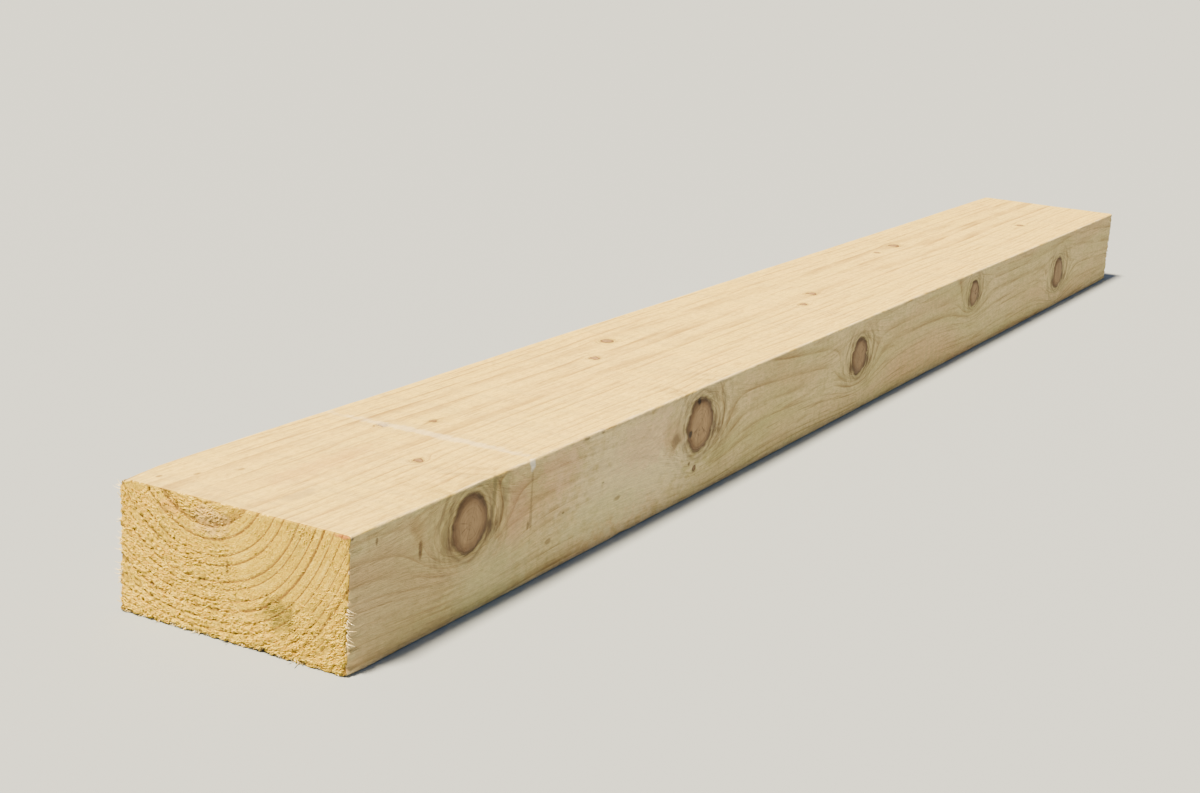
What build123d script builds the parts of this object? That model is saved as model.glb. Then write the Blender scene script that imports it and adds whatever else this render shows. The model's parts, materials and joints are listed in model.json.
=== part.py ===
"""Sawn softwood railway sleeper: one baulk of timber, 2400 x 250 x 125 mm.

Frame: +X runs along the baulk, +Y across its width and +Z up. The origin is the centre
of the bed face, the flat face that it lies on. The end at -X is called the near end.
"""

from build123d import *

import os

# The sawn section and the sold length
length = 2400.0
width = 250.0
thickness = 125.0

# The saw leaves the long arrises sharp, and handling rubs them. The cross-cut ends stay crisper.
arris_radius = 2.0
end_edge_radius = 1.0

# The top arris of the -Y face is crushed where the baulk was bound for transport
bite_from_near_end = 288.0
bite_length = 22.0
bite_depth = 2.5

# Two lifting nicks in the bottom arris of the -Y face
first_nick_from_near_end = 477.0
second_nick_from_near_end = 508.0
nick_length = 7.0
nick_depth = 2.0

# A splinter pulled out of the near end, through its lower edge and along the grain
splinter_from_side = 87.0
splinter_width = 10.0
splinter_height = 6.0
splinter_run = 34.0

# The near end's top corner on the +Y side is knocked off along a slanting plane
knock_across = 14.0
knock_down = 4.0
knock_along = 60.0

near_end_x = -length / 2
side_y = width / 2


def scallop(from_near_end, arris_z, across, depth):
    """Press a round hollow across an arris of the -Y face, square to the length.

    The hollow is part of a cylinder that lies at 45 degrees to both faces. Its radius is
    the one whose chord is as long as across where it is depth deep in the sharp corner.
    """
    radius = (across**2 / 4 + depth**2) / (2 * depth)
    reach = radius - depth
    outward_z = 1 if arris_z > 0 else -1
    outward = Vector(0, -1, outward_z).normalized()
    corner = Vector(near_end_x + from_near_end, -side_y, arris_z)
    slanting = Plane(origin=corner + outward * reach, x_dir=(1, 0, 0), z_dir=(0, 1, outward_z))
    with Locations(slanting):
        Cylinder(radius, 4 * across, mode=Mode.SUBTRACT)


with BuildPart() as sleeper:
    # The section as the saw leaves it, standing on the bed face
    with BuildSketch(Plane.YZ.offset(near_end_x)) as section:
        Rectangle(width, thickness, align=(Align.CENTER, Align.MIN))
        fillet(section.vertices(), radius=arris_radius)
    extrude(amount=length)
    fillet(sleeper.faces().filter_by(Axis.X).edges(), radius=end_edge_radius)

    # The crushed bite and the lifting nicks
    scallop(bite_from_near_end, thickness, bite_length, bite_depth)
    scallop(first_nick_from_near_end, 0, nick_length, nick_depth)
    scallop(second_nick_from_near_end, 0, nick_length, nick_depth)

    # The splinter's groove, widest at the end face and running out in the bed face
    with BuildSketch(Plane.YZ.offset(near_end_x)) as splinter_mouth:
        with Locations((-side_y + splinter_from_side, 0)):
            Ellipse(splinter_width / 2, splinter_height)
    with BuildSketch(Plane.YZ.offset(near_end_x + splinter_run)) as splinter_tip:
        with Locations((-side_y + splinter_from_side, -splinter_height)):
            Ellipse(splinter_width / 2, splinter_height)
    loft(mode=Mode.SUBTRACT, sections=[splinter_mouth.sketch, splinter_tip.sketch])

    # The knocked corner: the plane's normal points into the baulk, which is kept
    on_end = Vector(near_end_x, side_y - knock_across, thickness)
    down_edge = Vector(0, knock_across, -knock_down)
    along_arris = Vector(knock_along, knock_across, 0)
    knock = Plane(origin=on_end, x_dir=down_edge, z_dir=down_edge.cross(along_arris))
    split(bisect_by=knock, keep=Keep.TOP)

sleeper.part.label = "sleeper"
os.makedirs("parts", exist_ok=True)
export_step(sleeper.part, "parts/sleeper.step")
print("sleeper volume, litres:", round(sleeper.part.volume / 1e6, 3))
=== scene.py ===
# %% [markdown]
# # A sawn softwood railway sleeper
#
# A garden sleeper is one baulk of fast-grown pine or spruce. A frame saw cuts its four long
# faces, a chain saw cuts it to length, and the wood is then pressure treated, which leaves it
# a little green. Its looks come from three things: the year rings and knots that run through
# the solid wood, the rough skin that each saw leaves, and the torn fibres on the cross-cut
# ends.
#
# This lesson loads the sleeper's CAD solid as a frame, and lays a finely divided skin on it.

# %% Load the sleeper's CAD part
import json
import math
from functools import partial

import bmesh
import bpy
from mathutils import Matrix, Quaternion, Vector

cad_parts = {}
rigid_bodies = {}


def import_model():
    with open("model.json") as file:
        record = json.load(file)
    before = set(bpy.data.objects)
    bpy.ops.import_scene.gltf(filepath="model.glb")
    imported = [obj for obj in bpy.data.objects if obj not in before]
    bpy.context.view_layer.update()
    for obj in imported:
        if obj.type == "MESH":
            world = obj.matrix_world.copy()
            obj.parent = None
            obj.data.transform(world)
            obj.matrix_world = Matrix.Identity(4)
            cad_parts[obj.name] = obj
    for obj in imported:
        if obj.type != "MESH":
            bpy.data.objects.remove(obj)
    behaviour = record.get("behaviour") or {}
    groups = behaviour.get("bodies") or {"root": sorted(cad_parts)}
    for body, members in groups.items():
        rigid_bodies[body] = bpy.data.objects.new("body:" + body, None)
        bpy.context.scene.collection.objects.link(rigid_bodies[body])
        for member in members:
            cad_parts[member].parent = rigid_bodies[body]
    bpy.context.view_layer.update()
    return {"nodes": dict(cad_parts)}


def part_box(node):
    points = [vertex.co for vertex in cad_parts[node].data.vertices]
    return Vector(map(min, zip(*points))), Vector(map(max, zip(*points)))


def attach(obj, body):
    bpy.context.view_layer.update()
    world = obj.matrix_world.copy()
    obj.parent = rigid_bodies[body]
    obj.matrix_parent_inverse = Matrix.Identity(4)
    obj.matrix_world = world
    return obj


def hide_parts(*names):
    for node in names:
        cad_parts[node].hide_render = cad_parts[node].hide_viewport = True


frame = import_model()
low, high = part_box("sleeper")
size = high - low
mm = 0.001
print("sleeper, mm:", [round(side / mm) for side in size])

# %% [markdown]
# ## Colours
#
# Colours are written as sRGB hex values, as a paint chart gives them, and Blender wants them
# linear. One function turns them, and another gives the greys that a ramp needs.

# %% Turn colours linear
def linear(hex_value):
    """Turn an sRGB hex colour into linear red, green, blue and alpha."""
    parts = [int(hex_value[i : i + 2], 16) / 255 for i in (0, 2, 4)]
    return [c / 12.92 if c <= 0.04045 else ((c + 0.055) / 1.055) ** 2.4 for c in parts] + [1.0]


def grey(value):
    return (value, value, value, 1.0)


print("pale pine, linear:", [round(share, 2) for share in linear("E4CC92")])

# %% [markdown]
# ## Nodes
#
# A node is added, set up and linked by one function, so that each material reads as a short
# list. Patterns are sized in millimetres, because that is what a ruler gives.

# %% Add a node
def first_output(made):
    return next(socket for socket in made.outputs if socket.enabled)


def add(tree, kind, inputs=None, stops=None, **settings):
    """Add a node, set its properties, and fill its inputs with values or other nodes.

    An input is given by its label, or by its number where labels repeat. A node stands for
    its first live output. Stops are the places and colours of a colour ramp.
    """
    made = tree.nodes.new(kind)
    for name, value in settings.items():
        setattr(made, name, value)
    if stops:
        ramp = made.color_ramp.elements
        while len(ramp) < len(stops):
            ramp.new(1.0)
        for element, (place, colour) in zip(ramp, stops):
            element.position = place
            element.color = colour
    for label, value in (inputs or {}).items():
        if isinstance(label, str):
            socket = next(s for s in made.inputs if s.enabled and s.name == label)
        else:
            socket = made.inputs[label]
        if isinstance(value, bpy.types.Node):
            value = first_output(value)
        if isinstance(value, bpy.types.NodeSocket):
            tree.links.new(value, socket)
        else:
            socket.default_value = value
    return made


def per_mm(x, y, z):
    """Pattern sizes in millimetres along X, Y and Z, as the factors that a pattern wants."""
    return (1 / (x * mm), 1 / (y * mm), 1 / (z * mm))


print("a 2 mm pattern repeats", round(per_mm(2, 2, 2)[0]), "times in a metre")

# %% [markdown]
# ## The figure of the wood
#
# Year rings are surfaces inside the tree, round its pith, and every face of a sawn baulk
# cuts through the same ones. So the figure is worked out in space and not painted on each
# face: the distance from the pith gives the ring, and the knots bend it. The same node
# groups serve the materials and the relief, so that a knot's colour and its shape agree.
#
# On this sleeper the pith lies outside the section, above the top face.

# %% Where the pith is
pith_from_back = 93 * mm
pith_above_top = 31 * mm
pith = (0, high.y - pith_from_back, high.z + pith_above_top)
print("pith above the bed face, mm:", round((pith[2] - low.z) / mm))

# %% [markdown]
# ### Where the knots are
#
# A pine grows a whorl of branches each year, so the sleeper has a group of knots about every
# half metre. They could be scattered by chance, but a list in mm puts each one where a tape
# finds it on the sleeper.

# %% List the knots
# Each knot: its face, how far along from the near end, how far down from the top face or in
# from the back face, its radius on that face, and how dark it is. All lengths in mm.
knots = [
    ("front", 182, 37, 27.0, 0.30),
    ("front", 650, 43, 30.0, 0.10),
    ("front", 642, 92, 3.5, 0.90),
    ("front", 1128, 50, 24.0, 0.55),
    ("front", 1597, 34, 20.0, 0.45),
    ("front", 2063, 66, 26.0, 0.50),
    ("top", 291, 74, 5.0, 0.90),
    ("top", 334, 104, 4.0, 0.80),
    ("top", 772, 60, 8.0, 0.70),
    ("top", 1240, 128, 7.0, 0.60),
    ("top", 1715, 70, 9.0, 0.70),
    ("back", 214, 70, 21.0, 0.55),
    ("back", 690, 38, 17.0, 0.50),
    ("back", 1165, 82, 23.0, 0.60),
    ("back", 1640, 50, 18.0, 0.50),
    ("back", 2110, 74, 20.0, 0.45),
    ("bottom", 233, 170, 20.0, 0.55),
    ("bottom", 705, 92, 25.0, 0.50),
    ("bottom", 1180, 150, 22.0, 0.60),
    ("bottom", 1650, 74, 19.0, 0.50),
    ("bottom", 2128, 160, 24.0, 0.55),
]
print("knots:", len(knots), "with radii up to", max(knot[3] for knot in knots), "mm")

# %% Where a knot meets its face
# A branch points slightly towards the tree's top, and it thins out towards the pith.
branch_lean = 0.16
knot_depth = {"front": 165 * mm, "back": 95 * mm, "top": 60 * mm, "bottom": 165 * mm}
outward = {"front": (0, -1, 0), "back": (0, 1, 0), "top": (0, 0, 1), "bottom": (0, 0, -1)}


def knot_centre(face, along, across):
    x = low.x + along * mm
    if face in ("front", "back"):
        return Vector((x, low.y if face == "front" else high.y, high.z - across * mm))
    return Vector((x, high.y - across * mm, high.z if face == "top" else low.z))


first_centre = knot_centre(*knots[0][:3])
print("the middle of the first knot, mm:", [round(place / mm) for place in first_centre])

# %% [markdown]
# ### One knot
#
# A knot is the root of a branch: a cone that grows from the pith to the face. The fibres of
# the trunk part round it as water parts round a post, and that flow has a simple formula:
# a fibre is pushed aside by the square of the knot's radius over its distance. The group
# moves each point back to where its fibre would have run had no knot been there.
#
# The nodes stand in a group, which then serves every knot with numbers of its own.

# %% Start a node group
def new_group(kind, name, inputs, outputs):
    """An empty node group with these sockets. It returns the group and its two end nodes."""
    group = bpy.data.node_groups.new(name, kind)
    for direction, sockets in (("INPUT", inputs), ("OUTPUT", outputs)):
        for label, socket in sockets.items():
            group.interface.new_socket(label, in_out=direction, socket_type=socket)
    return group, group.nodes.new("NodeGroupInput"), group.nodes.new("NodeGroupOutput")


# What one knot hands on to the next
vector, number = "NodeSocketVector", "NodeSocketFloat"
carried = {"Flow": vector, "Nearness": number, "Local": vector, "Swell": number, "Tone": number}
print("a knot hands on:", ", ".join(carried))

# %% How far a point is from the branch
thinnest_branch = 0.1 * mm


def measure_branch(node, g):
    """The way out from the branch's axis, its radius there, and the one over the other."""
    offset = node("ShaderNodeVectorMath", {0: g["Point"], 1: g["Centre"]}, operation="SUBTRACT")
    depth = node("ShaderNodeVectorMath", {0: offset, 1: g["Axis"]}, operation="DOT_PRODUCT")
    on_axis = node("ShaderNodeVectorMath", {0: g["Axis"], "Scale": depth}, operation="SCALE")
    across = node("ShaderNodeVectorMath", {0: offset, 1: on_axis}, operation="SUBTRACT")
    inputs = {0: depth, 1: g["Taper"], 2: g["Radius"]}
    radius = node("ShaderNodeMath", inputs, operation="MULTIPLY_ADD")
    radius = node("ShaderNodeMath", {0: radius, 1: thinnest_branch}, operation="MAXIMUM")
    distance = node("ShaderNodeVectorMath", {0: across}, operation="LENGTH")
    rho = node("ShaderNodeMath", {0: distance, 1: radius}, operation="DIVIDE")
    return across, radius, rho


print("branches end, mm below their faces:", [round(d / mm) for d in knot_depth.values()])

# %% How the fibres part
# Along the grain the disturbance reaches twice as far as across it
reach_along_grain = 2.0


def part_fibres(node, g, across, radius):
    """Where a point's fibre would have run, and how many radii off the branch the point is."""
    squeeze = (1 / reach_along_grain, 1, 1)
    squeezed = node("ShaderNodeVectorMath", {0: across, 1: squeeze}, operation="MULTIPLY")
    reach = node("ShaderNodeVectorMath", {0: squeezed}, operation="LENGTH")
    reach = node("ShaderNodeMath", {0: reach, 1: radius}, operation="DIVIDE")
    push = node("ShaderNodeMath", {0: reach, 1: -2.0}, operation="POWER")
    push = node("ShaderNodeMath", {0: push, 1: 1.0}, operation="MINIMUM")
    sideways = node("ShaderNodeVectorMath", {0: across, 1: (0, 1, 1)}, operation="MULTIPLY")
    shift = node("ShaderNodeVectorMath", {0: sideways, "Scale": push}, operation="SCALE")
    flow = node("ShaderNodeVectorMath", {0: g["Flow"], 1: shift}, operation="SUBTRACT")
    return flow, reach


print("a knot reaches", reach_along_grain, "times as far along the grain as across it")

# %% The knot group
def make_knot_group(kind):
    own = {"Centre": vector, "Axis": vector, "Radius": number, "Taper": number, "Darkness": number}
    group, given, result = new_group(kind, "knot", {"Point": vector} | carried | own, carried)
    node, g = partial(add, group), given.outputs
    across, radius, rho = measure_branch(node, g)
    flow, reach = part_fibres(node, g, across, radius)

    # The rings swell outwards round a branch, which shows as closed ovals beside the knot
    fade = node("ShaderNodeMath", {0: reach, 1: -1.9}, operation="MULTIPLY")
    fade = node("ShaderNodeMath", {0: fade}, operation="EXPONENT")
    inputs = {0: fade, 1: g["Radius"], 2: g["Swell"]}
    swell = node("ShaderNodeMath", inputs, operation="MULTIPLY_ADD")

    # Of all knots, a point keeps the nearest one's distance, inner place and tone
    nearer = node("ShaderNodeMath", {0: rho, 1: g["Nearness"]}, operation="LESS_THAN")
    nearness = node("ShaderNodeMath", {0: rho, 1: g["Nearness"]}, operation="MINIMUM")
    inputs = {"Factor": nearer, "A": g["Local"], "B": across}
    local = node("ShaderNodeMix", inputs, data_type="VECTOR")
    tone = node("ShaderNodeMix", {"Factor": nearer, "A": g["Tone"], "B": g["Darkness"]})
    for label, value in zip(carried, (flow, nearness, local, swell, tone)):
        group.links.new(first_output(value), result.inputs[label])
    return group


shader_knot = make_knot_group("ShaderNodeTree")
relief_knot = make_knot_group("GeometryNodeTree")
print("nodes in the knot group:", len(relief_knot.nodes))

# %% [markdown]
# ### Lumps of a given size
#
# Nothing in wood is even, so nearly all that follows comes and goes. One pattern serves it
# all: a noise, scaled so that its lumps have a size in mm along each axis, and cut to a range.

# %% Lumps of a given size
def lumps(tree, where, sizes, low=0.36, high=0.64, detail=2.0, roughness=0.5, most=1.0):
    """A pattern from 0 to most whose lumps have these sizes in mm along X, Y and Z."""
    scaled = add(tree, "ShaderNodeVectorMath", {0: where, 1: per_mm(*sizes)}, operation="MULTIPLY")
    inputs = {"Vector": scaled, "Scale": 1.0, "Detail": detail, "Roughness": roughness}
    noise = add(tree, "ShaderNodeTexNoise", inputs)
    inputs = {"Value": noise, "From Min": low, "From Max": high, "To Max": most}
    return add(tree, "ShaderNodeMapRange", inputs)


print("lumps are cut from noise between", *lumps.__defaults__[:2])

# %% [markdown]
# ### Rings and flow together
#
# The figure group passes a point through all the knots, then measures how far it is from the
# pith. The rings are widest near the pith and narrow outwards, as they do in a plantation
# tree, so the ring number grows a little faster than the radius. The group also says how
# badly the chain saw tore each part of an end: hardly at all in one spot, right of the rings'
# middle and near the top, and more and more away from it.

# %% Pass a point through the knots
no_knot_yet = 99.0


def pass_knots(group, kind, knot_group, point):
    """Chain one copy of the knot group for each knot. It returns what the last hands on."""
    nested = "ShaderNodeGroup" if kind == "ShaderNodeTree" else "GeometryNodeGroup"
    handed_on = {"Flow": point, "Nearness": no_knot_yet}
    for face, along, across, radius, darkness in knots:
        lean = Vector(outward[face]) + Vector((branch_lean, 0, 0))
        inputs = handed_on | {"Point": point, "Centre": knot_centre(face, along, across)}
        inputs |= {"Axis": lean.normalized(), "Radius": radius * mm, "Darkness": darkness}
        inputs["Taper"] = radius * mm / knot_depth[face]
        knot = add(group, nested, inputs, node_tree=knot_group)
        handed_on = {label: knot.outputs[label] for label in carried}
    return handed_on


print("branches lean by", round(math.degrees(math.atan(branch_lean))), "degrees")

# %% Count the year rings
rings_per_metre = 33.0
more_rings_per_square_metre = 275.0
ring_swelling = 5.0
wander_reach = 20 * mm


def count_rings(node, flow, swell):
    """The ring number at a point, the arm from the pith to it, and the arm's length."""
    # A slow wander, because no trunk is quite straight or round
    broad = node("ShaderNodeVectorMath", {0: flow, 1: per_mm(500, 110, 110)}, operation="MULTIPLY")
    wander = node("ShaderNodeTexNoise", {"Vector": broad, "Scale": 1.0, "Detail": 0.0})
    inputs = {0: wander.outputs["Color"], 1: (0, wander_reach, wander_reach), 2: flow}
    wander = node("ShaderNodeVectorMath", inputs, operation="MULTIPLY_ADD")
    middle = Vector(pith) + Vector((0, 0.5 * wander_reach, 0.5 * wander_reach))
    arm = node("ShaderNodeVectorMath", {0: wander, 1: middle}, operation="SUBTRACT")
    arm = node("ShaderNodeVectorMath", {0: arm, 1: (0, 1, 1)}, operation="MULTIPLY")
    radius = node("ShaderNodeVectorMath", {0: arm}, operation="LENGTH")

    # The number grows faster and faster, and good and bad years shift it a little
    inputs = {0: swell, 1: -ring_swelling, 2: radius}
    swollen = node("ShaderNodeMath", inputs, operation="MULTIPLY_ADD")
    inputs = {0: swollen, 1: more_rings_per_square_metre, 2: rings_per_metre}
    rising = node("ShaderNodeMath", inputs, operation="MULTIPLY_ADD")
    ring = node("ShaderNodeMath", {0: swollen, 1: rising}, operation="MULTIPLY")
    inputs = {"W": ring, "Scale": 0.83, "Detail": 0.0}
    years = node("ShaderNodeTexNoise", inputs, noise_dimensions="1D")
    ring = node("ShaderNodeMath", {0: years, 1: 0.9, 2: ring}, operation="MULTIPLY_ADD")
    return ring, arm, radius


for away in (31, 70, 150):
    width = 1 / (rings_per_metre + 2 * more_rings_per_square_metre * away * mm)
    print("a ring", away, "mm from the pith is", round(width / mm), "mm wide")

# %% The place in the tree
def place_in_tree(node, flow, arm, radius):
    """The same place as length along the tree, distance from the pith and way round it."""
    arms = node("ShaderNodeSeparateXYZ", {0: arm}).outputs
    down = node("ShaderNodeMath", {0: arms["Z"], 1: -1.0}, operation="MULTIPLY")
    angle = node("ShaderNodeMath", {0: arms["Y"], 1: down}, operation="ARCTAN2")
    way_round = node("ShaderNodeMath", {0: angle, 1: radius}, operation="MULTIPLY")
    along = node("ShaderNodeSeparateXYZ", {0: flow}).outputs["X"]
    return node("ShaderNodeCombineXYZ", {0: along, 1: radius, 2: way_round})


farthest = math.hypot(low.y - pith[1], low.z - pith[2])
print("the section reaches", round(farthest / mm), "mm from the pith")

# %% How badly the saw tore
clean_spot = (0, high.y - 185 * mm, high.z - 36 * mm)
clean_reach = 55 * mm
torn_reach = 135 * mm
border_raggedness = 60 * mm


def how_torn(group, point):
    """From 0 round the clean spot to 1 well away from it, with a ragged border."""
    node = partial(add, group)
    off = node("ShaderNodeVectorMath", {0: point, 1: clean_spot}, operation="SUBTRACT")
    off = node("ShaderNodeVectorMath", {0: off, 1: (0, 0.8, 1.4)}, operation="MULTIPLY")
    off = node("ShaderNodeVectorMath", {0: off}, operation="LENGTH")
    blur = lumps(group, point, (60, 34, 26), 0.3, 0.7)
    off = node("ShaderNodeMath", {0: blur, 1: border_raggedness, 2: off}, operation="MULTIPLY_ADD")
    inputs = {"Value": off, "From Min": clean_reach, "From Max": torn_reach}
    return node("ShaderNodeMapRange", inputs)


print("the saw ran clean", round((high.z - clean_spot[2]) / mm), "mm below the top face")

# %% The figure group
def make_figure_group(kind, knot_group):
    found = {"Rings": number, "Polar": vector, "Torn": number} | carried
    group, given, result = new_group(kind, "wood figure", {"Point": vector}, found)
    node, point = partial(add, group), given.outputs["Point"]
    handed_on = pass_knots(group, kind, knot_group, point)
    ring, arm, radius = count_rings(node, handed_on["Flow"], handed_on["Swell"])
    polar = place_in_tree(node, handed_on["Flow"], arm, radius)
    own = {"Rings": ring, "Polar": polar, "Torn": how_torn(group, point)}
    for label in found:
        value = first_output(own[label]) if label in own else handed_on[label]
        group.links.new(value, result.inputs[label])
    return group


shader_figure = make_figure_group("ShaderNodeTree", shader_knot)
relief_figure = make_figure_group("GeometryNodeTree", relief_knot)
print("nodes in the figure group:", len(relief_figure.nodes))

# %% [markdown]
# ### A year, from its start to its end
#
# Each year a pine lays down soft, pale early wood and then a thin layer of hard, dark late
# wood. A ramp over the year says how dark it is. On a long face it darkens slowly, because
# the saw runs nearly along the rings. On a cut end, which crosses them, it is a line.

# %% How dark a year is
late_wood = [
    (0.0, grey(0.0)), (0.55, grey(0.05)), (0.84, grey(0.55)), (0.93, grey(1.0)), (1.0, grey(0.0))
]
late_line = [
    (0.0, grey(0.0)), (0.74, grey(0.04)), (0.85, grey(0.7)), (0.94, grey(1.0)), (0.99, grey(0.0))
]
print("late wood is darkest at", late_wood[3][0], "of a year, its line at", late_line[3][0])

# %% [markdown]
# ## The skin of the baulk
#
# The skin starts as a cube of the baulk's size with its arrises bevelled, as a joiner would
# draw it. Subdividing the edges that run along each axis turns every face into a fine grid.
# The two ends and the knots then get more cuts, because that is where the relief is fine.
# Last, Shrinkwrap lays the grid on the CAD solid, so that the bite in the arris, the nicks,
# the splinter's groove and the knocked corner are exactly where CAD has them.

# %% Start the skin
arris_radius = 2 * mm

bpy.ops.object.select_all(action="DESELECT")
bpy.ops.mesh.primitive_cube_add(size=1, location=(low + high) / 2, scale=size)
baulk = bpy.context.object
baulk.name = "sawn_baulk"
bpy.ops.object.transform_apply(location=True, rotation=True, scale=True)
bpy.ops.object.mode_set(mode="EDIT")
bpy.ops.mesh.select_all(action="SELECT")
bpy.ops.mesh.bevel(offset=arris_radius, segments=3, affect="EDGES")
print("faces of the bevelled baulk:", len(bmesh.from_edit_mesh(baulk.data).faces))

# %% Cut it into a grid
# How many cuts along X, Y and Z, for cells of about 24, 5 and 5 mm. One Subdivide makes 100
# cuts at most
grid_cuts = (100, 49, 24)


def select_edges(piece, wanted):
    """In edit mode, select only the edges for which wanted(edge) is true."""
    bpy.ops.mesh.select_mode(type="EDGE")
    bpy.ops.mesh.select_all(action="DESELECT")
    shape = bmesh.from_edit_mesh(piece.data)
    for edge in shape.edges:
        edge.select_set(wanted(edge))
    bmesh.update_edit_mesh(piece.data)


def runs_along(edge, axis):
    way = edge.verts[1].co - edge.verts[0].co
    return abs(way[axis]) > 0.999 * way.length


for axis in range(3):
    select_edges(baulk, lambda e: runs_along(e, axis) and e.calc_length() > 2 * arris_radius)
    bpy.ops.mesh.subdivide(number_cuts=grid_cuts[axis])
print("faces of the grid:", len(bmesh.from_edit_mesh(baulk.data).faces))

# %% Cut the ends finer
finest = 1.3 * mm


def on_an_end(edge):
    return all(abs(v.co.x) > high.x - 1.2 * arris_radius for v in edge.verts)


for _ in range(2):
    select_edges(
        baulk, lambda e: on_an_end(e) and not runs_along(e, 0) and e.calc_length() > finest
    )
    bpy.ops.mesh.subdivide(number_cuts=1)
print("faces with finer ends:", len(bmesh.from_edit_mesh(baulk.data).faces))

# %% Cut the knots finer
flat = 0.2 * mm


def near_knot(edge, centre, normal, reach):
    offsets = [v.co - centre for v in edge.verts]
    return all(abs(o.dot(normal)) < flat and o.length < reach for o in offsets)


for face, along, across, radius, _ in knots:
    centre, normal = knot_centre(face, along, across), Vector(outward[face])
    for reach in (1.4 * radius * mm + 3 * mm, 1.2 * radius * mm + 1 * mm):
        select_edges(
            baulk, lambda e: near_knot(e, centre, normal, reach) and e.calc_length() > finest
        )
        bpy.ops.mesh.subdivide(number_cuts=1)

# Faces with more than four sides become triangles while they are flat, so that none folds later
bpy.ops.mesh.select_mode(type="FACE")
bpy.ops.mesh.select_face_by_sides(number=4, type="GREATER", extend=False)
bpy.ops.mesh.quads_convert_to_tris(quad_method="BEAUTY", ngon_method="BEAUTY")
bpy.ops.object.mode_set(mode="OBJECT")
print("faces with finer knots:", len(baulk.data.polygons))

# %% Lay the skin on the CAD solid
for method in ("PROJECT", "NEAREST_SURFACEPOINT"):
    bpy.ops.object.modifier_add(type="SHRINKWRAP")
    wrap = baulk.modifiers[-1]
    wrap.target = frame["nodes"]["sleeper"]
    wrap.wrap_method = method
    if method == "PROJECT":
        wrap.use_negative_direction = True
        wrap.use_positive_direction = False
        wrap.project_limit = 8 * mm
    bpy.ops.object.modifier_apply(modifier=wrap.name)
baulk.data.calc_loop_triangles()
print("skin triangles:", len(baulk.data.loop_triangles))

# %% [markdown]
# ## Relief
#
# Real saws leave real hollows. A Geometry Nodes modifier moves every point of the skin along
# its normal by a height that is added up from a few causes, each with its size in mm: the
# long waves of a frame saw, knots that stand proud with a torn rim, the deep, clumped tearing
# of the chain saw on the two ends, and the fibres that broke away round their edges. Sculpting
# by hand could give such a surface too, but it wouldn't follow the rings so closely.

# %% Start the relief
def new_modifier_tree(name):
    tree = bpy.data.node_groups.new(name, "GeometryNodeTree")
    for way in ("INPUT", "OUTPUT"):
        tree.interface.new_socket("Geometry", in_out=way, socket_type="NodeSocketGeometry")
    return tree, tree.nodes.new("NodeGroupInput"), tree.nodes.new("NodeGroupOutput")


relief_tree, given, result = new_modifier_tree("sawn relief")
node = partial(add, relief_tree)
point, normal = node("GeometryNodeInputPosition"), node("GeometryNodeInputNormal")
wood = node("GeometryNodeGroup", {"Point": point}, node_tree=relief_figure)
print("the wood's figure gives:", ", ".join(wood.outputs.keys()))

# %% The long faces
# Long low waves, and the faint bands that each stroke of the frame saw leaves
causes = [
    (lumps(relief_tree, point, (260, 34, 34), 0.3, 0.7, 3.0), -0.5 * mm),
    (lumps(relief_tree, point, (22, 300, 300), 0.4, 0.6), -0.2 * mm),
]

# Fibres torn out in long flakes, close to the knots only
nearness = wood.outputs["Nearness"]
flakes = lumps(relief_tree, wood.outputs["Flow"], (26, 6, 6), 0.52, 0.6, 3.0)
beside = node("ShaderNodeMapRange", {"Value": nearness, "From Min": 3.0, "From Max": 1.2})
flakes = node("ShaderNodeMath", {0: flakes, 1: beside}, operation="MULTIPLY")
causes.append((flakes, -0.7 * mm))

# A knot stands proud, inside a torn rim
heart = node("ShaderNodeMapRange", {"Value": nearness, "From Min": 0.98, "From Max": 0.86})
causes.append((heart, 0.9 * mm))
rim = node("ShaderNodeMapRange", {"Value": nearness, "From Min": 1.35, "From Max": 1.05})
rim = node("ShaderNodeMath", {0: rim, 1: heart}, operation="SUBTRACT")
uneven = lumps(relief_tree, point, (9, 7, 7))
rim = node("ShaderNodeMath", {0: rim, 1: uneven}, operation="MULTIPLY")
causes.append((rim, -1.1 * mm))
height = 0.0
for cause, depth in causes:
    height = node("ShaderNodeMath", {0: cause, 1: depth, 2: height}, operation="MULTIPLY_ADD")
print("relief on a long face, mm:", [round(depth / mm, 1) for _, depth in causes])

# %% [markdown]
# ### The torn ends
#
# A chain saw doesn't slice the fibres, it tears them off in clumps. The clumps are longer
# round the rings than across them, because the soft early wood tears out between the hard
# lines, and the saw digs deepest beside the line at the end of each ring, in a row of pits.

# %% The chain saw's tearing
clean_depth, torn_depth = 0.8 * mm, 2.6 * mm
pit_share = 0.6
clumps = lumps(relief_tree, wood.outputs["Polar"], (12, 2.4, 3.2), 0.3, 0.7, 2.0, 0.6)
season = node("ShaderNodeMath", {0: wood.outputs["Rings"]}, operation="FRACT")
late = node("ShaderNodeValToRGB", {"Fac": season}, stops=late_line)
pits = lumps(relief_tree, wood.outputs["Polar"], (12, 30, 5), 0.35, 0.6)
late = node("ShaderNodeMath", {0: late, 1: pits}, operation="MULTIPLY")
clumps = node("ShaderNodeMath", {0: late, 1: -pit_share, 2: clumps}, operation="MULTIPLY_ADD")

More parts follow.
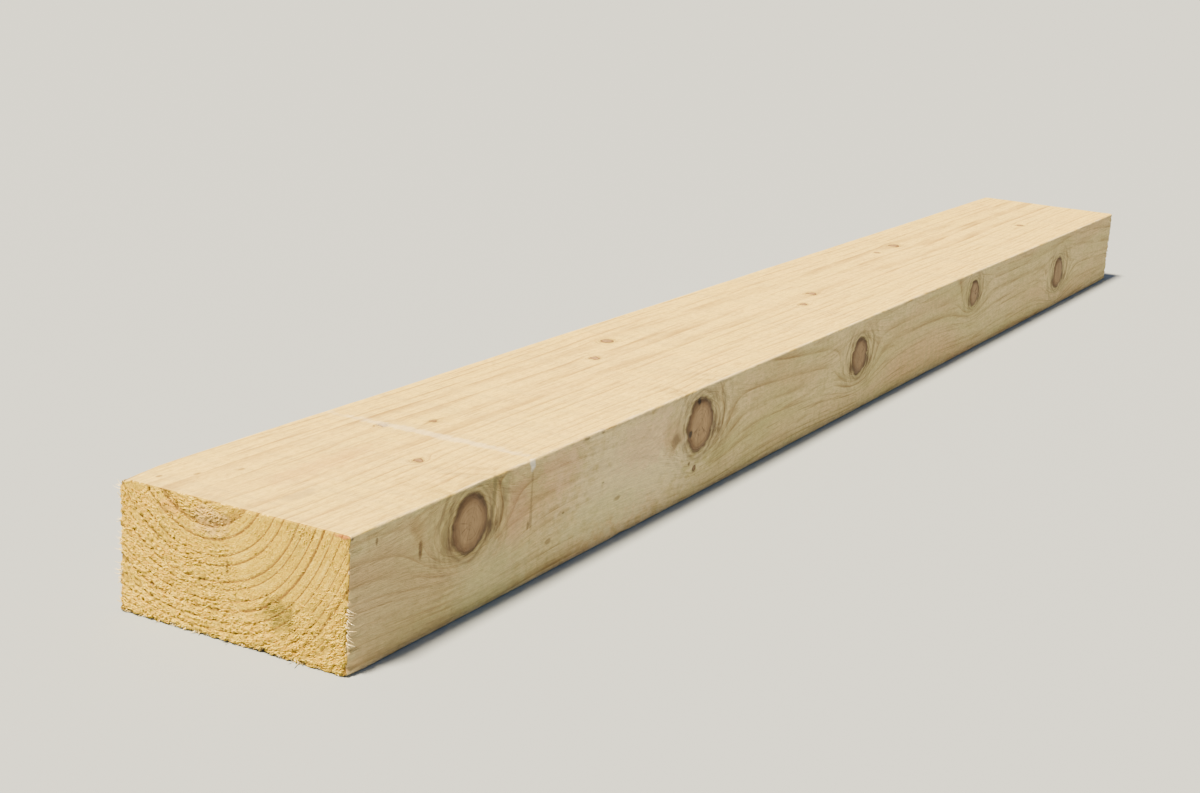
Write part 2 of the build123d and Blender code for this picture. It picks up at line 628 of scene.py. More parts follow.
# Most of the clumps' height lies below the CAD face, and only their tips stand out of it
clumps = node("ShaderNodeMath", {0: clumps, 1: 0.6}, operation="SUBTRACT")
inputs = {"Value": wood.outputs["Torn"], "To Min": clean_depth, "To Max": torn_depth}
deep = node("ShaderNodeMapRange", inputs)
tearing = node("ShaderNodeMath", {0: clumps, 1: deep}, operation="MULTIPLY")
facing = node("ShaderNodeSeparateXYZ", {0: normal}).outputs["X"]
on_end = node("ShaderNodeMath", {0: facing}, operation="ABSOLUTE")
on_end = node("ShaderNodeMapRange", {"Value": on_end, "From Min": 0.75, "From Max": 0.98})
height = node("ShaderNodeMix", {"Factor": on_end, "A": height, "B": tearing})
print("relief of the ends, mm:", round(clean_depth / mm, 1), "to", round(torn_depth / mm, 1))

# %% The broken rim of each end
# Round each end's edges the fibres broke away, worst where the saw tore worst
broken_depth = 3.0 * mm
place = node("ShaderNodeSeparateXYZ", {0: point}).outputs
ways = []
for axis, edge in (("X", high.x), ("Y", high.y)):
    way = node("ShaderNodeMath", {0: place[axis]}, operation="ABSOLUTE")
    inputs = {"Value": way, "From Min": edge - 5 * mm, "From Max": edge - 1 * mm}
    ways.append(node("ShaderNodeMapRange", inputs))
inputs = {"Value": place["Z"], "From Min": 5 * mm, "From Max": 1 * mm}
under = node("ShaderNodeMapRange", inputs)
rim = node("ShaderNodeMath", {0: ways[1], 1: under}, operation="MAXIMUM")
bites = lumps(relief_tree, point, (9, 6, 6), 0.4, 0.65)
for share in (ways[0], wood.outputs["Torn"], bites):
    rim = node("ShaderNodeMath", {0: rim, 1: share}, operation="MULTIPLY")
height = node("ShaderNodeMath", {0: rim, 1: -broken_depth, 2: height}, operation="MULTIPLY_ADD")
print("nodes in the relief so far:", len(relief_tree.nodes))

# %% Move the skin
# Nothing may sink below the bed face. Along X and Y the limit is far outside the baulk
no_limit = -9
bed_limit = (no_limit, no_limit, low.z)
offset = node("ShaderNodeVectorMath", {0: normal, "Scale": height}, operation="SCALE")
moved = node("ShaderNodeVectorMath", {0: point, 1: offset}, operation="ADD")
moved = node("ShaderNodeVectorMath", {0: moved, 1: bed_limit}, operation="MAXIMUM")
shaped = node("GeometryNodeSetPosition", {"Geometry": given.outputs[0], "Position": moved})
relief_tree.links.new(shaped.outputs[0], result.inputs[0])

bpy.ops.object.modifier_add(type="NODES")
relief = baulk.modifiers[-1]
relief.node_group = relief_tree
bpy.ops.object.modifier_apply(modifier=relief.name)
bpy.ops.object.shade_smooth()
lowest = min(vertex.co.z for vertex in baulk.data.vertices)
print("lowest point of the skin, mm:", round(lowest / mm, 2))

# %% [markdown]
# ## Torn fibres
#
# A chain saw pulls fibres out instead of cutting them, so the ends are furry. A few splinters
# are modelled one by one, from a three-sided cone that is cut across and pushed out of line.
# Geometry Nodes then scatters them over each end and realizes them as one mesh. They lie
# mostly along the year rings, because the soft early wood tears out between the hard lines.

# %% Model a splinter
splinter_cuts = 3


def model_splinter(name, length, radius, sway):
    """A thin splinter that grows along +Z from just under the surface, and sways along X."""
    bpy.ops.object.select_all(action="DESELECT")
    bpy.ops.mesh.primitive_cone_add(
        vertices=3,
        radius1=radius,
        radius2=0.3 * radius,
        depth=length,
        location=(0, 0, 0.35 * length),
    )
    splinter = bpy.context.object
    splinter.name = name
    bpy.ops.object.transform_apply(location=True, rotation=True, scale=True)
    bpy.ops.object.mode_set(mode="EDIT")
    select_edges(splinter, lambda e: e.calc_length() > 0.8 * length)
    bpy.ops.mesh.subdivide(number_cuts=splinter_cuts)
    bpy.ops.mesh.select_mode(type="VERT")
    for step in range(1, splinter_cuts + 2):
        part = step / (splinter_cuts + 1)
        shape = bmesh.from_edit_mesh(splinter.data)
        for vertex in shape.verts:
            vertex.select_set(vertex.co.z > (part - 0.27) * length)
        bmesh.update_edit_mesh(splinter.data)
        bpy.ops.transform.translate(value=(sway * part * length, 0, 0))
    bpy.ops.object.mode_set(mode="OBJECT")
    bpy.ops.object.shade_smooth()
    return splinter


print("bends in a splinter:", splinter_cuts + 1)

# %% Make a kit of tufts and one of whiskers
def make_kit(name, sizes):
    """A collection of splinters, each given as length and radius in mm and its sway."""
    kit = bpy.data.collections.new(name)
    for order, (length, radius, sway) in enumerate(sizes):
        splinter = model_splinter(f"{name}_{order}", length * mm, radius * mm, sway)
        for collection in splinter.users_collection:
            collection.objects.unlink(splinter)
        kit.objects.link(splinter)
        print(splinter.name, "faces:", len(splinter.data.polygons))
    return kit


tufts = make_kit("tuft", [(2.4, 0.7, 0.1), (3.2, 0.6, 0.2), (2.0, 0.85, 0.05), (4.0, 0.5, 0.25)])
whiskers = make_kit("whisker", [(3.5, 0.6, 0.1), (6, 0.55, 0.2), (4.5, 0.65, 0.1), (8, 0.5, 0.25)])

# %% [markdown]
# ### Where the fibres grow
#
# How thickly they stand is a number at each point of the skin, a product of several shares:
# whether the point is on this end at all, how patchy they are there, and where the saw tore.
# The tufts keep off the edges, so that none pokes out of a long face. The whiskers stand only
# along the edges.

# %% Find the end's own skin
end_thickness = 4 * mm
looks_its_way = 0.45


def on_this_end(node, place, side):
    """Two shares that are both 1 on the end at -X (side = -1) or at +X (side = 1)."""
    near = node("ShaderNodeMath", {0: place["X"], 1: side}, operation="MULTIPLY")
    near = node("ShaderNodeMath", {0: near, 1: high.x - end_thickness}, operation="GREATER_THAN")
    facing = node("GeometryNodeInputNormal")
    facing = node("ShaderNodeVectorMath", {0: facing, 1: (side, 0, 0)}, operation="DOT_PRODUCT")
    facing = node("ShaderNodeMath", {0: facing, 1: looks_its_way}, operation="GREATER_THAN")
    return near, facing


def distance_from_rim(node, place):
    """How far a point of an end is from the nearest of its sides and the bed face."""
    from_side = node("ShaderNodeMath", {0: place["Y"]}, operation="ABSOLUTE")
    from_side = node("ShaderNodeMath", {0: high.y, 1: from_side}, operation="SUBTRACT")
    return node("ShaderNodeMath", {0: place["Z"], 1: from_side}, operation="MINIMUM")


widest_angle = round(math.degrees(math.acos(looks_its_way)))
print("an end's skin is turned by up to", widest_angle, "degrees")

# %% Where the whiskers grow
whisker_band = 3 * mm


def whisker_shares(tree, point, place, from_rim):
    """How patchy the whiskers are, where they grow, and their share of full size."""
    node = partial(add, tree)
    where = node("ShaderNodeMath", {0: from_rim, 1: whisker_band}, operation="LESS_THAN")
    below = node("ShaderNodeMath", {0: place["Z"], 1: 0.5 * size.z}, operation="LESS_THAN")
    back = node("ShaderNodeMath", {0: place["Y"], 1: 0.0}, operation="GREATER_THAN")
    ragged = node("ShaderNodeMath", {0: below, 1: back}, operation="MAXIMUM")
    where = node("ShaderNodeMath", {0: where, 1: ragged}, operation="MULTIPLY")
    return lumps(tree, point, (50, 10, 10), 0.5, 0.6), where, 1.0


print("whiskers stand within", round(whisker_band / mm), "mm of an edge")

# %% Where the tufts grow
tufts_from_rim = 2.5 * mm
smallest_tuft = 0.5
fewest_tufts = 0.3


def tuft_shares(tree, point, place, from_rim, wood):
    """How patchy the tufts are, where they grow, and their share of full size."""
    node = partial(add, tree)

    # The hard late wood cuts clean, so each ring shows as a line with few tufts on it
    season = node("ShaderNodeMath", {0: wood.outputs["Rings"]}, operation="FRACT")
    late = node("ShaderNodeValToRGB", {"Fac": season}, stops=late_line)
    early = node("ShaderNodeMath", {0: late, 1: -0.75, 2: 1.0}, operation="MULTIPLY_ADD")
    where = node("ShaderNodeMapRange", {"Value": wood.outputs["Torn"], "To Min": fewest_tufts})
    from_top = node("ShaderNodeMath", {0: high.z, 1: place["Z"]}, operation="SUBTRACT")
    from_rim = node("ShaderNodeMath", {0: from_rim, 1: from_top}, operation="MINIMUM")
    inner = node("ShaderNodeMath", {0: from_rim, 1: tufts_from_rim}, operation="GREATER_THAN")
    where = node("ShaderNodeMath", {0: where, 1: early}, operation="MULTIPLY")
    where = node("ShaderNodeMath", {0: where, 1: inner}, operation="MULTIPLY")
    big = node("ShaderNodeMapRange", {"Value": wood.outputs["Torn"], "To Min": smallest_tuft})
    return lumps(tree, point, (50, 22, 22), 0.34, 0.6), where, big


print("tufts keep", round(tufts_from_rim / mm, 1), "mm off the edges")

# %% Which way they point
whiskers_outwards = 0.35
tufts_outwards = 1.0


def point_out(node, point, side, rim, seed):
    """Out of the end, and partly by chance: whiskers outwards, tufts along the rings."""
    chance = node(
        "FunctionNodeRandomValue",
        {0: (-0.5, -0.7, -0.7), 1: (0.5, 0.7, 0.7), "Seed": seed + 1},
        data_type="FLOAT_VECTOR",
    )
    if rim:
        lean = node("ShaderNodeVectorMath", {0: point, 1: (0, 0, size.z)}, operation="SUBTRACT")
        lean = node("ShaderNodeVectorMath", {0: lean, 1: (0, 8, 8)}, operation="MULTIPLY")
        way = (whiskers_outwards * side, 0, 0)
    else:
        arm = node("ShaderNodeVectorMath", {0: point, 1: pith}, operation="SUBTRACT")
        lean = node("ShaderNodeVectorMath", {0: arm, 1: (side, 0, 0)}, operation="CROSS_PRODUCT")
        lean = node("ShaderNodeVectorMath", {0: lean}, operation="NORMALIZE")
        way = (tufts_outwards * side, 0, 0)
    lean = node("ShaderNodeVectorMath", {0: lean, 1: way}, operation="ADD")
    lean = node("ShaderNodeVectorMath", {0: lean, 1: chance}, operation="ADD")
    return node("FunctionNodeAlignRotationToVector", {"Vector": lean}, axis="Z")


print("a tuft leans", round(math.degrees(math.atan(tufts_outwards))), "degrees off its end")

# %% Nodes that scatter a kit
above_bed = (no_limit, no_limit, low.z + 0.2 * mm)


def make_scatter(kit, side, rim, density, seed):
    """Nodes that scatter a kit on one end: with rim along its edges, and else inside them."""
    tree, _, result = new_modifier_tree("scattered " + kit.name)
    node = partial(add, tree)
    skin = node("GeometryNodeObjectInfo", {"Object": baulk}).outputs["Geometry"]
    point = node("GeometryNodeInputPosition")
    wood = node("GeometryNodeGroup", {"Point": point}, node_tree=relief_figure)
    place = node("ShaderNodeSeparateXYZ", {0: point}).outputs
    from_rim = distance_from_rim(node, place)
    if rim:
        patchy, where, share_of_size = whisker_shares(tree, point, place, from_rim)
    else:
        patchy, where, share_of_size = tuft_shares(tree, point, place, from_rim, wood)
    amount = density
    for share in (*on_this_end(node, place, side), patchy, where):
        amount = node("ShaderNodeMath", {0: amount, 1: share}, operation="MULTIPLY")
    inputs = {"Mesh": skin, "Density": amount, "Seed": seed}
    spots = node("GeometryNodeDistributePointsOnFaces", inputs)

    turn = point_out(node, point, side, rim, seed)
    scale = node("FunctionNodeRandomValue", {2: 0.6, 3: 1.3, "Seed": seed + 2}, data_type="FLOAT")
    scale = node("ShaderNodeMath", {0: scale, 1: share_of_size}, operation="MULTIPLY")
    inputs = {"Collection": kit, "Separate Children": True, "Reset Children": True}
    pieces = node("GeometryNodeCollectionInfo", inputs)
    last = len(kit.objects) - 1
    pick = node("FunctionNodeRandomValue", {4: 0, 5: last, "Seed": seed + 3}, data_type="INT")
    inputs = {"Points": spots.outputs["Points"], "Instance": pieces, "Pick Instance": True}
    inputs |= {"Instance Index": pick, "Rotation": turn, "Scale": scale}
    grown = node("GeometryNodeInstanceOnPoints", inputs)
    solid = node("GeometryNodeRealizeInstances", {"Geometry": grown})
    lifted = node("ShaderNodeVectorMath", {0: point, 1: above_bed}, operation="MAXIMUM")
    solid = node("GeometryNodeSetPosition", {"Geometry": solid, "Position": lifted})
    tree.links.new(solid.outputs[0], result.inputs[0])
    return tree


print("fibres stay", round((above_bed[2] - low.z) / mm, 1), "mm above the bed face")

# %% Scatter them on the ends
def scatter(name, kit, side, rim, density, seed):
    bpy.ops.object.select_all(action="DESELECT")
    bpy.ops.mesh.primitive_plane_add()
    fibres = bpy.context.object
    fibres.name = name
    bpy.ops.object.modifier_add(type="NODES")
    nodes = fibres.modifiers[-1]
    nodes.node_group = make_scatter(kit, side, rim, density, seed)
    bpy.ops.object.modifier_apply(modifier=nodes.name)
    fibres.data.materials.clear()
    fibres.data.calc_loop_triangles()
    print(name, "triangles:", len(fibres.data.loop_triangles))
    return fibres


tufts_per_area = 0.42 / (mm * mm)
whiskers_per_area = 0.4 / (mm * mm)
torn_fibres = [
    scatter("torn_fibres_near_end", tufts, -1, False, tufts_per_area, 11),
    scatter("torn_fibres_far_end", tufts, 1, False, tufts_per_area, 23),
]
edge_whiskers = [
    scatter("whiskers_near_end", whiskers, -1, True, whiskers_per_area, 35),
    scatter("whiskers_far_end", whiskers, 1, True, whiskers_per_area, 47),
]

# %% Put the kits away
for kit in (tufts, whiskers):
    for splinter in list(kit.objects):
        bpy.data.objects.remove(splinter)
    bpy.data.collections.remove(kit)
print("collections left:", len(bpy.data.collections))

# %% [markdown]
# ## Materials
#
# Everything here is the same pressure-treated pine, so the index of refraction is that of wood
# fibre, 1.5, and nothing shines. What differs is how each surface was cut, and that alone
# makes the faces, the ends and the loose fibres three finishes. Each is built up as a painter
# would build it: a first colour, and then thin coats over it, each with a pattern of its own.

# %% Start a material
fibre_ior = 1.5


def new_material(name, roughness):
    """A material with an empty Principled shader. It returns the material, tree and shader."""
    material = bpy.data.materials.new(name)
    material.use_nodes = True
    tree = material.node_tree
    tree.nodes.clear()
    shader = tree.nodes.new("ShaderNodeBsdfPrincipled")
    shader.inputs["Roughness"].default_value = roughness
    output = tree.nodes.new("ShaderNodeOutputMaterial")
    tree.links.new(shader.outputs["BSDF"], output.inputs["Surface"])
    return material, tree, shader


def lay(tree, coats):
    """Lay coats of colour, each a hex and its amount, over a first one that covers all."""
    colour = linear(coats[0]) if isinstance(coats[0], str) else coats[0]
    for hex_value, amount in coats[1:]:
        inputs = {"Factor": amount, "A": colour, "B": linear(hex_value)}
        colour = add(tree, "ShaderNodeMix", inputs, data_type="RGBA")
    return colour


print("index of refraction of wood fibre:", fibre_ior)

# %% [markdown]
# ### Stains and rubbed places
#
# Some marks belong to this one sleeper: bark pockets beside the knots, a pale rub across the
# top, dents in the top arris, and drifts of pinker heartwood and greener sapwood. Two drifts on
# the front face are only tone: a darker one near the near end, and a pale one of painted light
# further along. Each is a soft oval in space with a ragged edge, so two lists place them all.
# Drifts pass under the knots. Marks lie over everything.

# %% Drifts in the wood
# Each has its face, how far along from the near end and down from the top or in from the back
# its middle lies, its half length and half height, all in mm, its colour and its strength.
drifts = [
    # A darker drift over the near part of the front face
    ("front", 70, 70, 110, 70, "C0A272", 0.45),
    ("front", 225, 100, 70, 40, "CFC890", 0.35),
    # Painted light: a pale drift that brightens the front face from 340 to 660 mm along
    ("front", 500, 60, 160, 66, "F2DCA8", 0.7),
    ("front", 345, 24, 44, 26, "DDAC84", 0.4),
    ("front", 520, 34, 70, 30, "E2B08A", 0.3),
    ("front", 430, 92, 90, 22, "CFC788", 0.4),
    ("top", 150, 110, 90, 16, "C79C58", 0.4),
    ("top", 890, 180, 40, 3, "A58A52", 0.5),
    ("back", 480, 60, 60, 5, "A58A52", 0.5),
    ("bottom", 930, 60, 50, 4, "A58A52", 0.5),
]
print("drifts:", len(drifts))

# %% Marks on the surface
# Listed as the drifts are
marks = [
    ("front", 3, 3, 3, 3, "49331E", 0.8),
    ("front", 38, 15, 2, 4, "6E5836", 0.75),
    ("front", 98, 22, 11, 15, "A5854E", 0.4),
    ("front", 104, 40, 3.5, 9, "6E5028", 0.85),
    ("front", 142, 40, 7, 26, "75643A", 0.5),
    ("front", 222, 18, 4.5, 26, "6A5E34", 0.65),
    ("front", 243, 22, 6, 22, "8C8058", 0.45),
    ("front", 262, 44, 20, 46, "D0A07C", 0.35),
    ("front", 289, 44, 2.5, 38, "7E643E", 0.5),
    ("front", 289, 4, 5, 7, "FBF4E4", 0.8),
    ("front", 284, 66, 3, 5, "6A5230", 0.7),
    ("front", 325, 92, 7, 3, "7E6038", 0.65),
    ("front", 352, 70, 3, 1.5, "5E4828", 0.7),
    ("front", 392, 2, 6, 3, "6B5636", 0.7),
    ("front", 425, 2, 4, 3, "6B5636", 0.7),
    ("front", 431, 58, 3, 1.5, "5E4828", 0.7),
    ("front", 463, 82, 9, 2.5, "7E6038", 0.65),
    ("front", 585, 42, 26, 24, "A67C46", 0.4),
    ("front", 592, 50, 12, 8, "6A4C2A", 0.65),
    ("front", 645, 15, 4, 5, "2C2014", 0.85),
    ("front", 627, 50, 4, 6, "2C2014", 0.85),
    ("front", 629, 84, 3, 2.5, "6A5030", 0.8),
    ("top", 25, 23, 4, 2, "8A6C38", 0.8),
    ("top", 52, 44, 6, 2, "8A6C38", 0.8),
    ("top", 88, 64, 5, 2, "8A6C38", 0.7),
    ("top", 60, 150, 26, 9, "A89468", 0.55),
    ("top", 295, 125, 9, 125, "F6EACC", 0.4),
    ("top", 333, 104, 26, 2, "8A6C38", 0.6),
    ("back", 1400, 96, 36, 4, "8F7148", 0.5),
]
print("marks:", len(marks))

# %% A soft, ragged oval
oval_depth = 4


def spot(tree, point, middle, half_sizes, uneven, most):
    """A spot with these half sizes in mm and a ragged edge, from 0 outside to most inside."""
    off = add(tree, "ShaderNodeVectorMath", {0: point, 1: middle}, operation="SUBTRACT")
    off = add(tree, "ShaderNodeVectorMath", {0: off, 1: per_mm(*half_sizes)}, operation="MULTIPLY")
    off = add(tree, "ShaderNodeVectorMath", {0: off}, operation="LENGTH")
    off = add(tree, "ShaderNodeMath", {0: uneven, 1: 0.7, 2: off}, operation="MULTIPLY_ADD")
    inputs = {"Value": off, "From Min": 1.6, "From Max": 0.8, "To Max": most}
    return add(tree, "ShaderNodeMapRange", inputs, interpolation_type="SMOOTHSTEP")


def spot_coats(tree, point, places):
    """A coat of colour for each of the drifts or marks."""
    uneven = lumps(tree, point, (13, 8, 8), 0.3, 0.7, 3.0)
    coats = []
    for face, along, across, half_long, half_high, hex_value, strength in places:
        lying = face in ("top", "bottom")
        sides = (half_high, oval_depth) if lying else (oval_depth, half_high)
        middle = knot_centre(face, along, across)
        coats.append((hex_value, spot(tree, point, middle, (half_long, *sides), uneven, strength)))
    return coats


print("an oval reaches", oval_depth, "mm into the wood")

# %% [markdown]
# ### Pine, sawn along the grain
#
# A frame saw tears the fibres a little instead of slicing them, so the four long faces are
# quite matt. The eye gets pale early wood, thin brown late-wood lines that come and go, hair
# lines along the grain, and a green cast where the sapwood drank in the treatment. All of it
# is drawn along the figure's Flow, so that it bends round the knots. A real fibre is 0.03 mm
# thick, which no render would show, so the hair lines are drawn 1.2 mm wide.

# %% Start the sawn face
sawn_face, tree, shader = new_material("treated_pine_sawn_face", 0.82)
shader.inputs["IOR"].default_value = fibre_ior
node = partial(add, tree)
point = node("ShaderNodeTexCoord").outputs["Object"]
wood = node("ShaderNodeGroup", {"Point": point}, node_tree=shader_figure)
flow, nearness, local = (wood.outputs[label] for label in ("Flow", "Nearness", "Local"))
place = node("ShaderNodeSeparateXYZ", {0: point}).outputs
print(sawn_face.name, "starts with", len(tree.nodes), "nodes")

# %% Its broad colours
# Golden on the top face, which is painted sunlight, the green of the treatment, and pink heartwood
inputs = {"Value": place["Z"], "From Min": high.z - 3 * mm, "From Max": high.z - 1.5 * mm}
painted_sun_on_top = node("ShaderNodeMapRange", inputs | {"To Max": 0.8})
green = lumps(tree, flow, (240, 60, 40), 0.4, 0.68, most=0.9)
pink = lumps(tree, flow, (300, 44, 52), 0.46, 0.7, most=0.8)

# Faint bands across the face, one for each stroke of the saw
strokes = lumps(tree, point, (11, 300, 90), 0.42, 0.7, 3.0, most=0.35)
coats = ["E4CC92", ("CDBF7C", green), ("DCB680", pink), ("F8DA66", painted_sun_on_top), ("C6B478", strokes)]
colour = lay(tree, coats)
print("broad colours:", len(coats))

# %% Its year lines
# Pale early wood darkens through a year to a thin brown line, which comes and goes
season = node("ShaderNodeMath", {0: wood.outputs["Rings"]}, operation="FRACT")
late = node("ShaderNodeValToRGB", {"Fac": season}, stops=late_wood)
comes = lumps(tree, flow, (130, 14, 14), 0.32, 0.66, 3.0, most=0.85)
late = node("ShaderNodeMath", {0: late, 1: comes}, operation="MULTIPLY")
wisps = lumps(tree, flow, (80, 3.6, 3.6), 0.52, 0.72, 4.0, 0.6, most=0.6)
blotches = lumps(tree, point, (8, 5, 5), 0.48, 0.72, 4.0, 0.75, most=0.5)
colour = lay(tree, [colour, ("8F6C38", late), ("9C7A46", wisps), ("A08450", blotches)])
print("nodes with the year lines:", len(tree.nodes))

# %% Dark arcs beside the knots
# They flank a knot before and behind it, where its grain stands on end
arc_spread = 20 * mm
beside = node("ShaderNodeSeparateXYZ", {0: local}).outputs
sideways = node("ShaderNodeVectorMath", {0: local}, operation="LENGTH")
before = node("ShaderNodeMath", {0: beside["X"], 1: sideways}, operation="DIVIDE")
before = node("ShaderNodeMath", {0: before}, operation="ABSOLUTE")
before = node("ShaderNodeMapRange", {"Value": before, "From Min": 0.25, "From Max": 0.95})
swept = node("ShaderNodeMath", {0: nearness, 1: arc_spread}, operation="MULTIPLY")
swept = node("ShaderNodeCombineXYZ", {0: swept, 1: beside["Y"], 2: beside["Z"]})
arcs = lumps(tree, swept, (4.6, 24, 24), 0.42, 0.66, 3.0, 0.6)
inputs = {"Value": nearness, "From Min": 3.0, "From Max": 1.5, "To Max": 0.95}
flank = node("ShaderNodeMapRange", inputs)
for share in (before, arcs):
    flank = node("ShaderNodeMath", {0: flank, 1: share}, operation="MULTIPLY")
colour = lay(tree, [colour, ("63492A", flank), *spot_coats(tree, point, drifts)])
print("nodes with the arcs and drifts:", len(tree.nodes))

# %% [markdown]
# ### A knot's own face
#
# The saw cut the branch across, so its face shows rings of its own, faint ones, and drying
# cracks that run out from its middle. It is browner than the trunk, because a branch is full
# of resin. A noise on the heading from its middle gives the cracks: where the noise passes its
# mean, a line runs straight out.

# %% Rings in a knot
knot_rings = 6.5
rough = lumps(tree, point, (24, 18, 18), 0.3, 0.7)
edge = node("ShaderNodeMath", {0: rough, 1: 0.1, 2: nearness}, operation="MULTIPLY_ADD")
rings = node("ShaderNodeMath", {0: edge, 1: knot_rings}, operation="MULTIPLY")
rings = node("ShaderNodeMath", {0: rings}, operation="FRACT")
rings = node("ShaderNodeValToRGB", {"Fac": rings}, stops=late_wood)
faint = lumps(tree, point, (16, 9, 9), 0.35, 0.65, most=0.6)
rings = node("ShaderNodeMath", {0: rings, 1: faint}, operation="MULTIPLY")
inputs = {"Value": edge, "From Min": 0.64, "From Max": 1.05, "To Max": 0.95}
outer = node("ShaderNodeMapRange", inputs)
mottled = lumps(tree, point, (9, 7, 7), 0.4, 0.65, 3.0, most=0.25)
knot = lay(tree, ["B39268", ("86643E", mottled), ("67492C", outer), ("573D24", rings)])
print("rings in a knot:", knot_rings)

# %% Cracks in a knot
heading = node("ShaderNodeVectorMath", {0: local}, operation="NORMALIZE")
inputs = {0: point, 1: (4, 4, 4), 2: heading}
own = node("ShaderNodeVectorMath", inputs, operation="MULTIPLY_ADD")
crack = node("ShaderNodeTexNoise", {"Vector": own, "Scale": 0.8, "Detail": 1.0})
crack = node("ShaderNodeMath", {0: crack, 1: 0.5}, operation="SUBTRACT")
crack = node("ShaderNodeMath", {0: crack}, operation="ABSOLUTE")
crack = node("ShaderNodeMapRange", {"Value": crack, "From Min": 0.018, "From Max": 0.006})
inputs = {"Value": edge, "From Min": 0.75, "From Max": 0.5, "To Max": 0.5}
short = node("ShaderNodeMapRange", inputs)
crack = node("ShaderNodeMath", {0: crack, 1: short}, operation="MULTIPLY")
dark = node("ShaderNodeMath", {0: wood.outputs["Tone"], 1: 0.5}, operation="MULTIPLY")
knot = lay(tree, [knot, ("38281A", crack), ("4A3420", dark)])
print("nodes with the knots:", len(tree.nodes))

# %% Set the knots in
# Each lies inside a dark rim of bark and a fainter ring, both broken in places
inside = node("ShaderNodeMapRange", {"Value": edge, "From Min": 1.1, "From Max": 1.02})
colour = node("ShaderNodeMix", {"Factor": inside, "A": colour, "B": knot}, data_type="RGBA")
rim_stops = [(0, grey(0)), (0.3, grey(0.2)), (0.41, grey(1)), (0.48, grey(0.35))]
rim_stops += [(0.54, grey(0.12)), (0.62, grey(0.6)), (0.72, grey(0.15)), (1, grey(0))]
rim = node("ShaderNodeMapRange", {"Value": edge, "From Min": 0.6, "From Max": 1.8})
rim = node("ShaderNodeValToRGB", {"Fac": rim}, stops=rim_stops)
whole = lumps(tree, point, (34, 26, 26), most=0.4)
whole = node("ShaderNodeMath", {0: whole, 1: 0.6}, operation="ADD")
rim = node("ShaderNodeMath", {0: rim, 1: whole}, operation="MULTIPLY")
colour = lay(tree, [colour, ("4C331C", rim), *spot_coats(tree, point, marks)])
print("nodes with the rims and marks:", len(tree.nodes))

# %% Rubbed arrises
# Handling rubs the four long arrises pale, here and there
from_faces = []
for axis, middle, half in (("Y", 0.0, high.y), ("Z", size.z / 2, size.z / 2)):
    off = node("ShaderNodeMath", {0: place[axis], 1: middle}, operation="SUBTRACT")
    off = node("ShaderNodeMath", {0: off}, operation="ABSOLUTE")
    from_faces.append(node("ShaderNodeMath", {0: half, 1: off}, operation="SUBTRACT"))
arris = node("ShaderNodeMath", {0: from_faces[0], 1: from_faces[1]}, operation="MAXIMUM")
inputs = {"Value": arris, "From Min": 3.5 * mm, "From Max": 1.5 * mm, "To Max": 0.6}
arris = node("ShaderNodeMapRange", inputs)
rubbed = lumps(tree, point, (40, 30, 30), 0.35, 0.6)
rubbed = node("ShaderNodeMath", {0: arris, 1: rubbed}, operation="MULTIPLY")
colour = lay(tree, [colour, ("F0E2BC", rubbed)])
print("nodes with the rubbed arrises:", len(tree.nodes))

# %% Hair lines and flecks
# Hair lines along the grain, and flecks where the saw lifted or pulled out fibres. The same height
# also scales the colour: the grain's own tone, with painted shade in its hollows and a painted
# highlight on its raised fibres
fleck_height = 0.6 * mm
streaks = lumps(tree, flow, (60, 1.2, 1.2), 0.3, 0.7, 3.0, 0.6)
flecks = lumps(tree, flow, (10, 2.6, 2.6), 0.35, 0.65, 3.0, 0.7)
height = node("ShaderNodeMath", {0: streaks, 1: flecks}, operation="ADD")
inputs = {"Value": height, "From Max": 2.0, "To Min": 0.76, "To Max": 1.1}
grain_tone_and_painted_shade = node("ShaderNodeMapRange", inputs)
colour = node("ShaderNodeVectorMath", {0: colour, "Scale": grain_tone_and_painted_shade}, operation="SCALE")
bump = node("ShaderNodeBump", {"Height": height, "Strength": 0.5, "Distance": fleck_height})
tree.links.new(first_output(colour), shader.inputs["Base Color"])
tree.links.new(bump.outputs[0], shader.inputs["Normal"])
print(sawn_face.name, "has", len(tree.nodes), "nodes")

# %% [markdown]
# ### Pine, cut across by a chain saw
#
# Cut across, pine is a deeper gold, because its open pores drink in the treatment and trap
# the light. Where the saw ran clean the year rings are brown lines, and where it tore they
# break up into rows of dark pits between pale clumps. The pores are 0.04 mm wide and can't
# show, so the clumps are drawn at 2 to 3 mm, the size of the bundles that the saw pulled.
# The far end is painted paler than the near one: painted light that lifts the end, which lies in
# shade.

# %% Patches of colour on the near end
# How far from the back face and from the top each middle lies, its half width and half height
# in mm, and its colour.
end_patches = [
    (58, 15, 14, 8, "CBA044"),
    (102, 18, 22, 14, "D0B274"),
    (122, 55, 1.6, 8, "5A4318"),
    (180, 84, 17, 17, "6A6228"),
    (241, 2, 10, 2.2, "B4583A"),
]
patch_depth = 30
patch_strength = 0.65


def end_patch_coats(tree, point):
    uneven = lumps(tree, point, (20, 9, 9), 0.3, 0.7, 3.0)
    coats = []
    for from_back, from_top, half_wide, half_high, hex_value in end_patches:
        middle = (low.x, high.y - from_back * mm, high.z - from_top * mm)
        half_sizes = (patch_depth, half_wide, half_high)
        coats.append((hex_value, spot(tree, point, middle, half_sizes, uneven, patch_strength)))
    return coats


print("patches on the near end:", len(end_patches))

# %% The far end, painted paler for its shade
most_lightened_in_shade = 0.75


